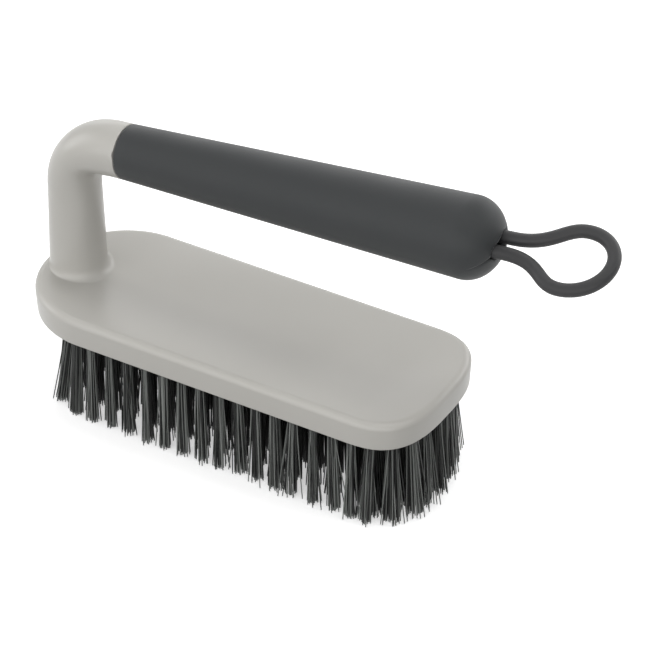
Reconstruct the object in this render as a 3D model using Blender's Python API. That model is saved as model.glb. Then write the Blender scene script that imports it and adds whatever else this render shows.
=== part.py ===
# Cleaning brush: a long moulded back with a tuft plate under it, a bent neck that carries a
# soft conical grip above the back, and a rubber hanging loop at the grip's far end.
# Metres, +Z up. X runs along the back from the neck to the loop, Y is across it, and the
# bristle tips stand on z = 0 with the origin under the middle of the whole brush.

import math
import random

import bmesh
import bpy
from mathutils import Matrix, Vector

mm = 0.001

# Gap left between pieces that touch.
touch_gap = 0.3 * mm

# Back: plan outline with a round left end and a squarer right end.
back_length = 160.0 * mm
back_width = 61.2 * mm
back_height = 10.6 * mm
right_corner = 23.5 * mm
right_squareness_share = 2.9
edge_round = 2.6 * mm
dish_depth = 1.5 * mm
rim_round = 0.7 * mm
rim_draft = 0.35 * mm
skirt_wall = 2.6 * mm
left_end_steps = 20
right_end_steps = 16
fillet_steps = 5
dish_steps = 5

# Tufts: one round of them follows the outline, straight rows fill the middle.
bristle_length = 34.5 * mm
tuft_pitch = 7.4 * mm
outer_inset = 6.0 * mm
left_draw_in = 5.2 * mm
left_fullness_share = 1.42
row_end_share = 0.93
run_end_share = 0.25
hole_clearance = 0.45 * mm
hole_sides = 6
strands_per_tuft = 3
strand_sides = 3
strand_radius = 0.78 * mm
strand_offset = 0.98 * mm
tuft_splay = 0.9 * mm
splay_shares = (0.5, 1.4)
outward_lean = 1.0 * mm
left_lean = 3.5 * mm
stray_lean = 0.55 * mm
trim_spread = 1.5 * mm
plate_thickness = 3.0 * mm
strip_thickness = 1.4 * mm
strip_width = 4.2 * mm
middle_rows = 5
bristle_seed = 7

# Neck: a post, a bend with a tight inner corner, and a thinner core inside the grip.
post_inset = 12.2 * mm
post_radius_foot = 10.1 * mm
post_radius_top = 9.4 * mm
bend_swell = 0.45 * mm
bend_radius = 21.0 * mm
inner_bend_radius = 4.0 * mm
bend_steps = 12
axis_height = 62.1 * mm
axis_tilt = math.radians(4.7)
collar_radius = 11.7 * mm
collar_height = 2.6 * mm
collar_edge = 0.5 * mm
collar_steps = 4
boss_radius = 12.0 * mm
boss_rise = 0.8 * mm
boss_edge = 0.5 * mm
spigot_radius = 6.5 * mm
spigot_length = 4.8 * mm
round_sides = 24
sharp_angle = math.radians(35.0)

# Grip: a soft cone that starts flush with the neck and ends in a dome.
grip_start = 22.9 * mm
grip_cone_end = 154.4 * mm
grip_end = 166.3 * mm
grip_radius_start = 9.65 * mm
grip_radius_end = 14.0 * mm
grip_edge = 0.5 * mm
grip_wall = 2.5 * mm
grip_end_wall = 6.0 * mm
grip_sides = 36
dome_steps = 8
core_radius_end = 10.6 * mm

# Hanging loop: a round rubber cord, its two legs side by side in a slot in the dome.
loop_roll = math.radians(20.3)
loop_pitch = math.radians(3.2)
cord_radius = 2.3 * mm
leg_offset = 3.16 * mm
loop_root = 168.7 * mm
loop_widest = 23.9 * mm
loop_half_width = 11.95 * mm
loop_reach = 37.1 * mm
leg_handle = 14.6 * mm
waist_handle = 8.9 * mm
bow_handle = 7.4 * mm
end_handle = 6.6 * mm
loop_sides = 12
leg_steps = 10
end_steps = 8
cap_steps = 3
anchor_radius = 6.2 * mm
anchor_length = 13.0 * mm
slot_clearance = 0.35 * mm
slot_end_steps = 12

# Overrun of every cutter past the face it cuts.
cut_over = 1.0 * mm

# Finishes: linear colour and roughness.
plastic_colour = (0.445, 0.434, 0.402)
plastic_roughness = 0.42
grip_colour = (0.062, 0.063, 0.065)
grip_roughness = 0.6
cord_colour = (0.066, 0.066, 0.067)
cord_roughness = 0.55
fibre_colour = (0.072, 0.075, 0.076)
fibre_roughness = 0.45

back_bottom = bristle_length
back_top = back_bottom + back_height
boss_top = back_top + boss_rise
half_width = back_width / 2
straight_end = back_length - right_corner
row_pitch = (half_width - outer_inset) / (middle_rows // 2 + 1)
plate_inset = skirt_wall + touch_gap
hole_radius = (strand_offset + strand_radius + hole_clearance) / math.cos(math.pi / hole_sides)
strip_bottom = back_bottom + plate_thickness + touch_gap
pocket_roof = strip_bottom + strip_thickness + touch_gap
axis_start = Vector((post_inset, 0.0, back_bottom + axis_height))
axis_direction = Vector((math.cos(axis_tilt), 0.0, math.sin(axis_tilt)))
bend_turn = math.pi / 2 - axis_tilt
bend_tangent = bend_radius * math.tan(bend_turn / 2)
loop_lift_share = math.sin(loop_pitch) * math.cos(loop_roll)
loop_ahead_share = math.cos(loop_pitch) * axis_direction.x - loop_lift_share * axis_direction.z
loop_end_reach = loop_root * axis_direction.x + (loop_reach + cord_radius) * loop_ahead_share
half_length = (post_inset + loop_end_reach) / 2


def make_material(name, colour, roughness):
    material = bpy.data.materials.new(name)
    material.use_nodes = True
    surface = material.node_tree.nodes["Principled BSDF"]
    surface.inputs["Base Color"].default_value = (*colour, 1.0)
    surface.inputs["Roughness"].default_value = roughness
    surface.inputs["Metallic"].default_value = 0.0
    material.diffuse_color = (*colour, 1.0)
    return material


def add_object(name, mesh_builder, material, parent=None, smooth=True):
    mesh = bpy.data.meshes.new(name)
    mesh_builder.normal_update()
    mesh_builder.to_mesh(mesh)
    mesh_builder.free()
    mesh.materials.append(material)
    if smooth:
        mesh.shade_smooth()
        mesh.set_sharp_from_angle(angle=sharp_angle)
    made = bpy.data.objects.new(name, mesh)
    bpy.context.scene.collection.objects.link(made)
    made.parent = parent
    return made


def add_empty(name, location, tilt=0.0, roll=0.0, parent=None):
    empty = bpy.data.objects.new(name, None)
    bpy.context.scene.collection.objects.link(empty)
    empty.location = location
    empty.rotation_euler = (roll, -tilt, 0.0)
    empty.parent = parent
    return empty


def boolean(target, cutter, operation):
    cutter.hide_render = True
    cutter.display_type = "WIRE"
    change = target.modifiers.new(cutter.name, "BOOLEAN")
    change.operation = operation
    change.solver = "EXACT"
    change.object = cutter


def add_ring(bm, points):
    return [bm.verts.new(point) for point in points]


def bridge(bm, first, second):
    count = len(first)
    for i in range(count):
        j = (i + 1) % count
        bm.faces.new((first[i], first[j], second[j], second[i]))


def circle(radius, sides):
    turn = 2 * math.pi / sides
    return [(radius * math.cos(turn * i), radius * math.sin(turn * i)) for i in range(sides)]


def tube_solid(rings):
    # Rings of equal count, from one closed end to the other.
    bm = bmesh.new()
    loops = [add_ring(bm, ring) for ring in rings]
    for first, second in zip(loops, loops[1:]):
        bridge(bm, first, second)
    bm.faces.new(loops[0])
    bm.faces.new(loops[-1])
    bmesh.ops.recalc_face_normals(bm, faces=bm.faces)
    return bm


def turned_solid(profile, sides):
    # Profile of (distance along X, radius) pairs, turned about the X axis.
    return tube_solid([[(x, a, b) for a, b in circle(radius, sides)] for x, radius in profile])


def upright_solid(profile, sides):
    # Profile of (height, radius) pairs, turned about the Z axis.
    return tube_solid([[(a, b, z) for a, b in circle(radius, sides)] for z, radius in profile])


def power(value, exponent):
    return math.copysign(abs(value) ** exponent, value)


def back_outline(inset):
    # Plan outline, counter-clockwise from the front straight's right end.
    half = half_width - inset
    corner = right_corner - inset
    points = []
    for i in range(right_end_steps + 1):
        turn = math.pi * (i / right_end_steps - 0.5)
        reach = abs(math.cos(turn)) ** (2 / right_squareness_share)
        across = power(math.sin(turn), 2 / right_squareness_share)
        points.append(Vector((straight_end + corner * reach, half * across)))
    for i in range(left_end_steps + 1):
        turn = math.pi * (i / left_end_steps + 0.5)
        points.append(Vector((half_width + half * math.cos(turn), half * math.sin(turn))))
    return points


def tuft_outline(inset):
    # The back's outline with its left end drawn in, clear of the post's socket.
    half = half_width - inset
    bend = 2 / left_fullness_share
    points = []
    for p in back_outline(inset):
        if p.x < half_width:
            reach = (half - left_draw_in) * ((half_width - p.x) / half) ** bend
            p = Vector((half_width - reach, half * power(p.y / half, bend)))
        points.append(p)
    return points


def spine_point(point):
    # Nearest point on the outline's middle line.
    return Vector((min(max(point.x, half_width), straight_end), 0.0))


def make_back(material, parent):
    bm = bmesh.new()

    def ring_at(inset, height):
        return add_ring(bm, [(p.x, p.y, height) for p in back_outline(inset)])

    roof = ring_at(skirt_wall, pocket_roof)
    rings = [roof, ring_at(skirt_wall, back_bottom)]
    rings.append(ring_at(rim_draft + rim_round, back_bottom))
    rings.append(ring_at(rim_draft, back_bottom + rim_round))
    for i in range(fillet_steps + 1):
        turn = math.pi / 2 * i / fillet_steps
        inset = edge_round * (1 - math.cos(turn))
        rings.append(ring_at(inset, back_top - edge_round * (1 - math.sin(turn))))
    crest = back_outline(edge_round)
    for i in range(1, dish_steps):
        share = i / dish_steps
        height = back_top - dish_depth * (1 - math.cos(math.pi * share)) / 2
        level = [spine_point(p).lerp(p, 1 - share) for p in crest]
        rings.append(add_ring(bm, [(p.x, p.y, height) for p in level]))
    for first, second in zip(rings, rings[1:]):
        bridge(bm, first, second)

    # The dish closes on the middle line: a fan at each end, a quad along each side.
    left = bm.verts.new((half_width, 0.0, back_top - dish_depth))
    right = bm.verts.new((straight_end, 0.0, back_top - dish_depth))
    last = rings[-1]
    for i in range(right_end_steps):
        bm.faces.new((last[i], last[i + 1], right))
    first_left = right_end_steps + 1
    for i in range(first_left, first_left + left_end_steps):
        bm.faces.new((last[i], last[i + 1], left))
    bm.faces.new((last[right_end_steps], last[first_left], left, right))
    bm.faces.new((last[-1], last[0], right, left))
    bm.faces.new(roof)
    bmesh.ops.recalc_face_normals(bm, faces=bm.faces)
    back = add_object("brush_back", bm, material, parent)

    boss_profile = [
        (back_top - edge_round, boss_radius),
        (boss_top - boss_edge, boss_radius),
        (boss_top, boss_radius - boss_edge),
    ]
    boss = add_object("boss_guide", upright_solid(boss_profile, round_sides), material, parent)
    boss.location.x = post_inset
    boolean(back, boss, "UNION")

    socket_radius = spigot_radius + touch_gap
    socket_profile = [
        (boss_top - spigot_length - touch_gap, socket_radius),
        (boss_top + cut_over, socket_radius),
    ]
    socket = add_object("socket_cutter", upright_solid(socket_profile, round_sides), material, parent)
    socket.location.x = post_inset
    boolean(back, socket, "DIFFERENCE")
    return back


def path_points(loop, spacing):
    # Evenly spaced places along a closed outline, each with its outward direction.
    count = len(loop)
    legs = [(loop[i], loop[(i + 1) % count]) for i in range(count)]
    total = sum((b - a).length for a, b in legs)
    steps = round(total / spacing)
    places = []
    walked = 0.0
    k = 0
    for a, b in legs:
        span = (b - a).length
        while k < steps and k * total / steps <= walked + span:
            along = (b - a) / span
            here = a + along * (k * total / steps - walked)
            places.append((here, Vector((along.y, -along.x))))
            k += 1
        walked += span
    return places


def row_limits(inset, across):
    # Smallest and largest x of the tufts' outline at a distance across it.
    loop = tuft_outline(inset)
    found = []
    for a, b in zip(loop, loop[1:] + loop[:1]):
        if (a.y - across) * (b.y - across) <= 0.0 and a.y != b.y:
            found.append(a.x + (b.x - a.x) * (across - a.y) / (b.y - a.y))
    return min(found), max(found)


def outer_groups():
    # The round of outer tufts, split at the straights' left ends and just past their right ends.
    places = path_points(tuft_outline(outer_inset), tuft_pitch)
    names = ("front", "right", "back", "left")
    groups = {name: [] for name in names}
    past_end = tuft_pitch * run_end_share
    for here, outward in places:
        if here.x > straight_end + past_end:
            side = "right"
        elif here.x < half_width:
            side = "left"
        else:
            side = "front" if here.y < 0.0 else "back"
        groups[side].append((here, outward))
    # Every run goes on counter-clockwise, so the left one starts behind.
    groups["front"].sort(key=lambda place: place[0].x)
    groups["left"].sort(key=lambda place: -place[0].y)
    return groups


def middle_groups():
    # Straight rows, each spread evenly between its two ends.
    rows = []
    for row in range(middle_rows):
        across = (row - (middle_rows - 1) // 2) * row_pitch
        low, high = row_limits(outer_inset + row_pitch * row_end_share, across)
        gaps = round((high - low) / tuft_pitch)
        xs = [low + (high - low) * k / gaps for k in range(gaps + 1)]
        rows.append([(Vector((x, across)), Vector((0.0, 0.0))) for x in xs])
    return rows


def along_path(places, i):
    # Direction of travel at a tuft: square to its outward side, or along a straight row.
    outward = places[i][1]
    if outward.length > 0.0:
        return Vector((-outward.y, outward.x))
    return (places[-1][0] - places[0][0]).normalized()


def strip_outline(places, curved):
    # A band of the strip's width along a run of tufts, half its width past each end tuft.
    half = strip_width / 2
    stations = [(point, along_path(places, i)) for i, (point, outward) in enumerate(places)]
    stations.insert(0, (stations[0][0] - stations[0][1] * half, stations[0][1]))
    stations.append((stations[-1][0] + stations[-1][1] * half, stations[-1][1]))
    near, far = [], []
    for point, along in stations:
        side = Vector((along.y, -along.x)) * half
        near.append(point + side)
        far.append(point - side)
    if not curved:
        near = [near[0], near[-1]]
        far = [far[0], far[-1]]
    return near + far[::-1]


def strand_triangle(centre, turn):
    corners = circle(strand_radius, strand_sides)
    return [centre + Matrix.Rotation(turn, 2) @ Vector(corner) for corner in corners]


def link_loop(bm, ring):
    return [bm.edges.new((a, b)) for a, b in zip(ring, ring[1:] + ring[:1])]


def make_bristles(name, places, curved, lean_length, dice, material, parent):
    # A backing strip with every strand of its tufts fused to its underside.
    bm = bmesh.new()
    outline = strip_outline(places, curved)
    lower = add_ring(bm, [(p.x, p.y, strip_bottom) for p in outline])
    upper = add_ring(bm, [(p.x, p.y, strip_bottom + strip_thickness) for p in outline])
    edges = link_loop(bm, lower)
    strands = []
    for place, outward in places:
        lean = outward * lean_length
        lean += Vector((dice.uniform(-stray_lean, stray_lean), dice.uniform(-stray_lean, stray_lean)))
        spin = dice.uniform(0.0, math.tau)
        for i in range(strands_per_tuft):
            turn = spin + i * math.tau / strands_per_tuft
            away = Vector((math.cos(turn), math.sin(turn)))
            root = place + away * strand_offset
            tip = root + lean + away * tuft_splay * dice.uniform(*splay_shares)
            short = max(0.0, dice.uniform(-trim_spread, trim_spread))
            base = add_ring(bm, [(p.x, p.y, strip_bottom) for p in strand_triangle(root, turn)])
            edges += link_loop(bm, base)
            end = add_ring(bm, [(p.x, p.y, short) for p in strand_triangle(tip, turn)])
            strands.append((base, end))
    bmesh.ops.triangle_fill(bm, edges=edges, use_beauty=True, normal=(0.0, 0.0, -1.0))
    for base, end in strands:
        bridge(bm, base, end)
        bm.faces.new(end)
    bridge(bm, lower, upper)
    bm.faces.new(upper)
    bmesh.ops.recalc_face_normals(bm, faces=bm.faces)
    return add_object(name, bm, material, parent, smooth=False)


def make_plate(places, material, parent):
    # A flat plate in the back's pocket, with a hole for every tuft.
    bm = bmesh.new()
    rim = add_ring(bm, [(p.x, p.y, back_bottom) for p in back_outline(plate_inset)])
    edges = link_loop(bm, rim)
    for place, outward in places:
        hole = [(place.x + a, place.y + b, back_bottom) for a, b in circle(hole_radius, hole_sides)]
        edges += link_loop(bm, add_ring(bm, hole))
    filled = bmesh.ops.triangle_fill(bm, edges=edges, use_beauty=True, normal=(0.0, 0.0, -1.0))
    under = [item for item in filled["geom"] if isinstance(item, bmesh.types.BMFace)]
    raised = bmesh.ops.extrude_face_region(bm, geom=under, use_keep_orig=True)
    top = [item for item in raised["geom"] if isinstance(item, bmesh.types.BMVert)]
    bmesh.ops.translate(bm, verts=top, vec=(0.0, 0.0, plate_thickness))
    bmesh.ops.recalc_face_normals(bm, faces=bm.faces)
    return add_object("tuft_plate", bm, material, parent, smooth=False)


def inner_bend_point(share):
    # Up the post's inner side, round a tight corner and along under the grip's axis.
    down = Vector((axis_direction.z, 0.0, -axis_direction.x))
    start = Vector((post_inset + post_radius_top, 0.0, axis_start.z - bend_tangent))
    end = axis_start + axis_direction * bend_tangent + down * grip_radius_start
    corner = start + Vector((inner_bend_radius, 0.0, 0.0))
    corner.z = end.z - (end.x - corner.x) * math.tan(axis_tilt) - inner_bend_radius / math.cos(axis_tilt)
    corner_end = corner - down * inner_bend_radius
    rise = corner.z - start.z
    sweep = inner_bend_radius * bend_turn
    gone = share * (rise + sweep + (end - corner_end).length)
    if gone < rise:
        return start + Vector((0.0, 0.0, gone))
    if gone < rise + sweep:
        turn = (gone - rise) / inner_bend_radius
        return corner + Vector((-math.cos(turn), 0.0, math.sin(turn))) * inner_bend_radius
    return corner_end + axis_direction * (gone - rise - sweep)


def neck_rings():
    # Rings along the neck: spigot, collar, post, bend, core and the bore in its end.
    rings = []

    def oval(centre, up, half_across):
        side = Vector((0.0, half_across, 0.0))
        rings.append([centre + side * a + up * b for a, b in circle(1, round_sides)])

    def cross(centre, along, radius):
        oval(centre, along.cross(Vector((0.0, radius, 0.0))), radius)

    def upright(height, radius):
        cross(Vector((post_inset, 0.0, height)), Vector((0.0, 0.0, 1.0)), radius)

    def along_axis(distance, radius):
        cross(axis_start + axis_direction * distance, axis_direction, radius)

    foot = boss_top + touch_gap
    upright(boss_top - spigot_length, spigot_radius)
    upright(foot, spigot_radius)
    upright(foot, collar_radius - collar_edge)
    upright(foot + collar_edge, collar_radius)
    for i in range(1, collar_steps + 1):
        turn = math.pi / 2 * i / collar_steps
        radius = collar_radius - (collar_radius - post_radius_foot) * math.sin(turn)
        upright(foot + collar_edge + (collar_height - collar_edge) * (1 - math.cos(turn)), radius)
    bend_centre = Vector((post_inset + bend_radius, 0.0, axis_start.z - bend_tangent))
    for i in range(bend_steps + 1):
        share = i / bend_steps
        turn = bend_turn * share
        radius = post_radius_top + (grip_radius_start - post_radius_top) * share
        radius += bend_swell * math.sin(math.pi * share)
        outer = bend_centre + Vector((-math.cos(turn), 0.0, math.sin(turn))) * (bend_radius + radius)
        inner = inner_bend_point(share)
        oval((outer + inner) / 2, (outer - inner) / 2, radius)
    core_start = grip_radius_start - grip_wall - touch_gap
    shoulder = grip_start - touch_gap
    along_axis(shoulder - grip_edge, grip_radius_start)
    along_axis(shoulder, grip_radius_start - grip_edge)
    along_axis(shoulder, core_start)
    core_end = grip_end - grip_end_wall - touch_gap
    along_axis(core_end - grip_edge, core_radius_end)
    along_axis(core_end, core_radius_end - grip_edge)
    bore_radius = anchor_radius + touch_gap
    along_axis(core_end, bore_radius)
    along_axis(core_end - anchor_length - touch_gap, bore_radius)
    return rings


def make_neck(material, parent):
    return add_object("neck", tube_solid(neck_rings()), material, parent)


def make_grip(material, parent):
    # Outer cone and dome, then back along the inside; the slot is cut through the dome.
    profile = []
    inner_start = grip_radius_start - grip_wall
    inner_end = core_radius_end + touch_gap
    profile.append((grip_end - grip_end_wall, inner_end))
    profile.append((grip_start, inner_start))
    profile.append((grip_start, grip_radius_start - grip_edge))
    profile.append((grip_start + grip_edge, grip_radius_start))
    for i in range(dome_steps):
        turn = math.pi / 2 * i / dome_steps
        reach = grip_cone_end + (grip_end - grip_cone_end) * math.sin(turn)
        profile.append((reach, grip_radius_end * math.cos(turn)))
    bm = bmesh.new()
    rings = []
    for x, radius in profile:
        rings.append(add_ring(bm, [(x, a, b) for a, b in circle(radius, grip_sides)]))
    for first, second in zip(rings, rings[1:]):
        bridge(bm, first, second)
    tip = bm.verts.new((grip_end, 0.0, 0.0))
    last = rings[-1]
    for i in range(grip_sides):
        bm.faces.new((last[i], last[(i + 1) % grip_sides], tip))
    bm.faces.new(rings[0])
    bmesh.ops.recalc_face_normals(bm, faces=bm.faces)
    grip = add_object("grip_sleeve", bm, material, parent)

    slot = bmesh.new()
    radius = cord_radius + slot_clearance
    low = grip_end - grip_end_wall - cut_over
    high = grip_end + cut_over
    section = []
    for side in (1, -1):
        for i in range(slot_end_steps + 1):
            turn = math.pi * i / slot_end_steps
            section.append((side * (leg_offset + radius * math.sin(turn)), -side * radius * math.cos(turn)))
    rings = [add_ring(slot, [(x, a, b) for a, b in section]) for x in (low, high)]
    bridge(slot, rings[0], rings[1])
    slot.faces.new(rings[0])
    slot.faces.new(rings[1])
    bmesh.ops.recalc_face_normals(slot, faces=slot.faces)
    cutter = add_object("slot_cutter", slot, material, parent)
    cutter.rotation_euler.x = loop_roll
    boolean(grip, cutter, "DIFFERENCE")
    return grip


def make_anchor(material, parent):
    # A plug in the core's bore with the fixed roots of the loop's two legs.
    plug_end = grip_end - grip_end_wall - touch_gap
    plug_profile = [
        (plug_end - anchor_length, anchor_radius),
        (plug_end, anchor_radius),
    ]
    anchor = add_object("loop_anchor", turned_solid(plug_profile, round_sides), material, parent)
    leg_end = loop_root - cord_radius - touch_gap
    leg_profile = [(plug_end - cut_over, cord_radius), (leg_end, cord_radius)]
    for name, side in (("left_root_guide", 1), ("right_root_guide", -1)):
        leg = add_object(name, turned_solid(leg_profile, loop_sides), material, anchor)
        leg.location.y = side * leg_offset
        boolean(anchor, leg, "UNION")
    return anchor


def bezier(a, b, c, d, share):
    rest = 1 - share
    return a * rest ** 3 + b * 3 * rest ** 2 * share + c * 3 * rest * share ** 2 + d * share ** 3


def loop_line():
    # Half of the loop's middle line, from a leg's root to the far end.
    root = Vector((0.0, leg_offset))
    widest = Vector((loop_widest, loop_half_width))
    end = Vector((loop_reach, 0.0))
    ahead = Vector((1.0, 0.0))
    out = Vector((0.0, 1.0))
    half = []
    for i in range(leg_steps):
        share = i / leg_steps
        half.append(bezier(root, root + ahead * leg_handle, widest - ahead * waist_handle, widest, share))
    for i in range(end_steps + 1):
        share = i / end_steps
        half.append(bezier(widest, widest + ahead * bow_handle, end + out * end_handle, end, share))
    return half + [Vector((p.x, -p.y)) for p in half[-2::-1]]


def make_loop(material, parent):
    line = loop_line()
    rings = []

    def cross(centre, along, radius):
        side = Vector((along.y, -along.x))
        rings.append([(centre.x + side.x * a, centre.y + side.y * a, b) for a, b in circle(radius, loop_sides)])

    ahead = Vector((1.0, 0.0))
    for i in range(cap_steps, 0, -1):
        turn = math.pi / 2 * i / (cap_steps + 1)
        cross(line[0] - ahead * cord_radius * math.sin(turn), ahead, cord_radius * math.cos(turn))
    for i, point in enumerate(line):
        if i == 0:
            along = ahead
        elif i == len(line) - 1:
            along = -ahead
        else:
            along = (line[i + 1] - line[i - 1]).normalized()
        cross(point, along, cord_radius)
    for i in range(1, cap_steps + 1):
        turn = math.pi / 2 * i / (cap_steps + 1)
        cross(line[-1] - ahead * cord_radius * math.sin(turn), -ahead, cord_radius * math.cos(turn))
    return add_object("hanging_loop", tube_solid(rings), material, parent)


def build():
    for item in list(bpy.data.objects):
        bpy.data.objects.remove(item, do_unlink=True)

    shell = make_material("back_plastic", plastic_colour, plastic_roughness)
    shaft = make_material("neck_plastic", plastic_colour, plastic_roughness)
    rubber = make_material("grip_rubber", grip_colour, grip_roughness)
    cord = make_material("loop_rubber", cord_colour, cord_roughness)
    fibre = make_material("bristle_fibre", fibre_colour, fibre_roughness)

    body = add_empty("brush_frame", (-half_length, 0.0, 0.0))
    make_back(shell, body)

    outer = outer_groups()
    middle = middle_groups()
    dice = random.Random(bristle_seed)
    every = [place for group in outer.values() for place in group]
    every += [place for row in middle for place in row]
    make_plate(every, shell, body)
    for name, places in outer.items():
        curved = name in ("right", "left")
        lean = left_lean if name == "left" else outward_lean
        make_bristles(f"bristle_edge_{name}", places, curved, lean, dice, fibre, body)
    for number, places in enumerate(middle, start=1):
        make_bristles(f"bristle_row_{number}", places, False, outward_lean, dice, fibre, body)

    make_neck(shaft, body)
    handle = add_empty("handle_axis", axis_start, tilt=axis_tilt, parent=body)
    make_grip(rubber, handle)
    rolled = add_empty("loop_plane", (0.0, 0.0, 0.0), roll=loop_roll, parent=handle)
    make_anchor(cord, rolled)
    loop = make_loop(cord, rolled)
    loop.location.x = loop_root
    loop.rotation_euler.y = -loop_pitch


build()
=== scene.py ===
import math

import bmesh
import bpy
from mathutils import Matrix, Vector


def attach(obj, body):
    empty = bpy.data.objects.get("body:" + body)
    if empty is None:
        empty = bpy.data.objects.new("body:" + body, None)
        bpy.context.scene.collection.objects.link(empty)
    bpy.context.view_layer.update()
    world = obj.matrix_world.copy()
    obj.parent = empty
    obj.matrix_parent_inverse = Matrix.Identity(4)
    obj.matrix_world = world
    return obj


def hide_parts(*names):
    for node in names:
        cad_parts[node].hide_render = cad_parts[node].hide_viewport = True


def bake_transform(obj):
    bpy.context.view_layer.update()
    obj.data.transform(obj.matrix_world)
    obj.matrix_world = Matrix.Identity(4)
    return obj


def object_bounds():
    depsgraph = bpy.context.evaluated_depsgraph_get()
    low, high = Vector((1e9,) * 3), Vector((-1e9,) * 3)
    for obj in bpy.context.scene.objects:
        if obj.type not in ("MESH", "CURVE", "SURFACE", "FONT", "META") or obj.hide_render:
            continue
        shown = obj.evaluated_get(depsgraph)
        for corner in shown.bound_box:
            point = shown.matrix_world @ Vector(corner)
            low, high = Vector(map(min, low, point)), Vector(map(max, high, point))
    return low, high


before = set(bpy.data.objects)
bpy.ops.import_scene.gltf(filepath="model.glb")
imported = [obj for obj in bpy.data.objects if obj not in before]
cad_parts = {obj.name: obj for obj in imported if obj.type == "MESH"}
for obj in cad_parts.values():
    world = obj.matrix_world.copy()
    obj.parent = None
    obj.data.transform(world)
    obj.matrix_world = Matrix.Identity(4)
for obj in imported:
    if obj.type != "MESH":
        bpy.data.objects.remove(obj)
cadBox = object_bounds()

# The pieces are drawn in millimetres: x from the back's round end, z from the floor.
mm = 0.001
weldGap = 0.0005
toFrame = Matrix.Translation((cadBox[0].x, 0, 0)) @ Matrix.Scale(mm, 4)

cameraSet = {
    "place": Vector((0.5001, -0.8359, 0.7610)),
    "azimuth": 30.675,
    "elevation": 36.068,
    "roll": -0.145,
    "lens": 195.14,
    "sensor": 36.0,
}


def makeCamera(c):
    data = bpy.data.cameras.new("photoCamera")
    data.sensor_width = c["sensor"]
    data.lens = c["lens"]
    camera = bpy.data.objects.new("photoCamera", data)
    bpy.context.scene.collection.objects.link(camera)
    turn = Matrix.Rotation(math.radians(c["azimuth"]), 4, "Z")
    turn @= Matrix.Rotation(math.radians(90 - c["elevation"]), 4, "X")
    turn @= Matrix.Rotation(math.radians(c["roll"]), 4, "Z")
    camera.matrix_world = Matrix.Translation(c["place"]) @ turn
    bpy.context.scene.camera = camera
    print("camera ready")


class Number:
    # A number socket that can stand in a sum: every operator adds its Math node.
    def __init__(self, sheet, socket):
        self.sheet = sheet
        self.socket = socket

    def __add__(self, other):
        return self.sheet.math("ADD", self, other)

    def __sub__(self, other):
        return self.sheet.math("SUBTRACT", self, other)

    def __rsub__(self, other):
        return self.sheet.math("SUBTRACT", other, self)

    def __mul__(self, other):
        return self.sheet.math("MULTIPLY", self, other)

    def __truediv__(self, other):
        return self.sheet.math("DIVIDE", self, other)

    def __pow__(self, other):
        return self.sheet.math("POWER", self, other)

    __radd__ = __add__
    __rmul__ = __mul__


class Sheet:
    # One node tree that is being drawn, for a material or for Geometry Nodes.
    def __init__(self, tree):
        self.tree = tree

    def add(self, kind, settings={}, sockets={}):
        node = self.tree.nodes.new(kind)
        for name, value in settings.items():
            setattr(node, name, value)
        for key, value in sockets.items():
            if isinstance(value, Number):
                value = value.socket
            if isinstance(value, bpy.types.NodeSocket):
                self.tree.links.new(value, node.inputs[key])
            else:
                node.inputs[key].default_value = value
        return node

    def number(self, node, output=0):
        return Number(self, node.outputs[output])

    def math(self, operation, *values):
        sockets = dict(enumerate(values))
        return self.number(self.add("ShaderNodeMath", {"operation": operation}, sockets))

    def attribute(self, name):
        # A number that the mesh stores under this name.
        return self.number(self.add("ShaderNodeAttribute", {"attribute_name": name}), "Fac")

    def noise(self, where, scale, detail=2.0):
        # A soft random number, about 0.3 to 0.7, that changes over a surface.
        sockets = {"Vector": where, "Scale": scale, "Detail": detail}
        return self.number(self.add("ShaderNodeTexNoise", {}, sockets), "Fac")

    def blend(self, amount, first, second):
        sockets = {0: amount, 6: first, 7: second}
        return self.add("ShaderNodeMix", {"data_type": "RGBA"}, sockets).outputs[2]


def screenColour(red, green, blue):
    # A colour as it reads on the screen, 0 to 255, in Blender's linear values.
    shares = [v / 255 for v in (red, green, blue)]
    linear = [v / 12.92 if v <= 0.04045 else ((v + 0.055) / 1.055) ** 2.4 for v in shares]
    return (*linear, 1.0)


def newMaterial(name):
    material = bpy.data.materials.new(name)
    material.use_nodes = True
    sheet = Sheet(material.node_tree)
    return material, sheet, material.node_tree.nodes["Principled BSDF"]


def feed(sheet, surface, socket, value):
    value = value.socket if isinstance(value, Number) else value
    sheet.tree.links.new(value, surface.inputs[socket])


def feedRelief(sheet, surface, height, strength):
    # Raises the surface by a height in millimetres.
    sockets = {"Strength": strength, "Distance": mm, "Height": height}
    feed(sheet, surface, "Normal", sheet.add("ShaderNodeBump", {}, sockets).outputs["Normal"])


plasticLook = {
    "colour": screenColour(178, 176, 170),
    "paler": screenColour(184, 182, 177),
    "roughness": 0.32,
    "roughnessSpread": 0.08,
    "specular": 0.4,
    "toneScale": 28.0,
    "grainScale": 2600.0,
    "grainHeight": 0.012,
    "flowScale": 140.0,
    "flowHeight": 0.05,
    "reliefStrength": 0.6,
}


def makePlastic(name, p):
    # Satin moulded plastic: an even tone with slow drifts, a fine grain and a slight flow ripple.
    material, sheet, surface = newMaterial(name)
    where = sheet.add("ShaderNodeTexCoord").outputs["Object"]
    drift = sheet.noise(where, p["toneScale"])
    grain = sheet.noise(where, p["grainScale"])
    flow = sheet.noise(where, p["flowScale"])
    feed(sheet, surface, "Base Color", sheet.blend(drift, p["colour"], p["paler"]))
    feed(sheet, surface, "Roughness", p["roughness"] + (flow - 0.5) * p["roughnessSpread"])
    height = grain * p["grainHeight"] + flow * p["flowHeight"]
    feedRelief(sheet, surface, height, p["reliefStrength"])
    surface.inputs["Specular IOR Level"].default_value = p["specular"]
    return material


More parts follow.
